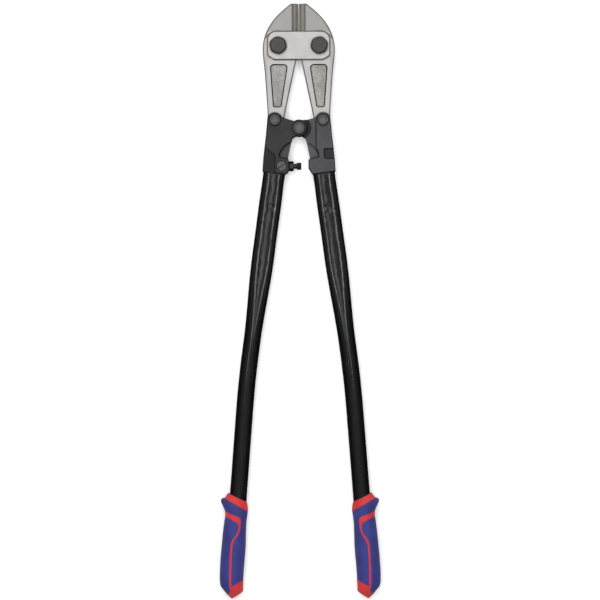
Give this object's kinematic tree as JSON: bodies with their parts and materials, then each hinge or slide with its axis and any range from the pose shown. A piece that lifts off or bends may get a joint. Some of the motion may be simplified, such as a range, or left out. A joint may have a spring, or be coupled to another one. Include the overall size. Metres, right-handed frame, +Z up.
{
  "type": "bolt cutters",
  "caption": "Long-handled bolt cutters with centre-cut jaws, side plates, forged handle heads, steel tube handles and two-colour moulded grips.",
  "frame": {"origin": "on the floor under the middle of the outline, with the tool lying on its back", "axes": "+Y along the tool to the jaws, +X across to the right handle, +Z up through the thickness"},
  "size_m": [0.2476, 0.9139, 0.0382],
  "materials": {
    "forged_steel": "satin nickel grey forging with ground cutting bevels",
    "plate_steel": "satin plated plate, fine blasted grain",
    "black_oxide": "black oxide, warm brown-grey where rubbed",
    "dark_hardware": "dark phosphated steel, satin",
    "head_paint": "black paint over a forging, satin",
    "tube_paint": "glossy black enamel",
    "blue_grip": "soft blue moulded grip, fine matte texture",
    "red_grip": "soft red moulded inlay, fine matte texture"
  },
  "bodies": {
    "plates": {"front_plate": "plate_steel", "rear_plate": "plate_steel", "left_jaw_bolt": "black_oxide", "right_jaw_bolt": "black_oxide", "left_jaw_washer": "black_oxide", "right_jaw_washer": "black_oxide", "left_jaw_nut": "black_oxide", "right_jaw_nut": "black_oxide"},
    "left_jaw": {"left_jaw": "forged_steel"},
    "right_jaw": {"right_jaw": "forged_steel"},
    "left_handle": {"left_handle_head": "head_paint", "left_link_bolt": "dark_hardware", "left_link_nut": "dark_hardware", "centre_bolt": "dark_hardware", "centre_nut": "dark_hardware", "stop_lock_nut": "dark_hardware", "stop_barrel_nut": "dark_hardware", "left_tube": "tube_paint", "left_tube_pin": "dark_hardware", "left_grip": "blue_grip", "left_grip_collar": "red_grip", "left_grip_tip": "red_grip"},
    "right_handle": {"right_handle_head": "head_paint", "right_link_bolt": "dark_hardware", "right_link_nut": "dark_hardware", "right_tube": "tube_paint", "right_tube_pin": "dark_hardware", "right_grip": "blue_grip", "right_grip_collar": "red_grip", "right_grip_tip": "red_grip"},
    "stop_screw": {"stop_screw": "dark_hardware"}
  },
  "joints": [
    {"name": "left_handle_pivot", "type": "hinge", "parent": "left_jaw", "child": "left_handle", "pos_m": [-0.0371, 0.2784, 0.0185], "axis": [0, 0, -1], "range_deg": [-1.2, 54]},
    {"name": "right_handle_pivot", "type": "hinge", "parent": "right_jaw", "child": "right_handle", "pos_m": [0.0371, 0.2784, 0.0185], "axis": [0, 0, 1], "range_deg": [-1.2, 54]},
    {"name": "left_jaw_pivot", "type": "hinge", "parent": "plates", "child": "left_jaw", "pos_m": [-0.0316, 0.3927, 0.0185], "axis": [0, 0, 1], "range_deg": [-0.2, 9]},
    {"name": "right_jaw_pivot", "type": "hinge", "parent": "plates", "child": "right_jaw", "pos_m": [0.0316, 0.3927, 0.0185], "axis": [0, 0, -1], "range_deg": [-0.2, 9]},
    {"name": "stop_adjust", "type": "slide", "parent": "left_handle", "child": "stop_screw", "axis": [1, 0, 0], "range_m": [0, 0.004]}
  ],
  "couplings": [
    {"joint": "right_handle_pivot", "follows": "left_handle_pivot", "ratio": 1},
    {"joint": "left_jaw_pivot", "follows": "left_handle_pivot", "ratio": 0.16667},
    {"joint": "right_jaw_pivot", "follows": "left_handle_pivot", "ratio": 0.16667}
  ]
}
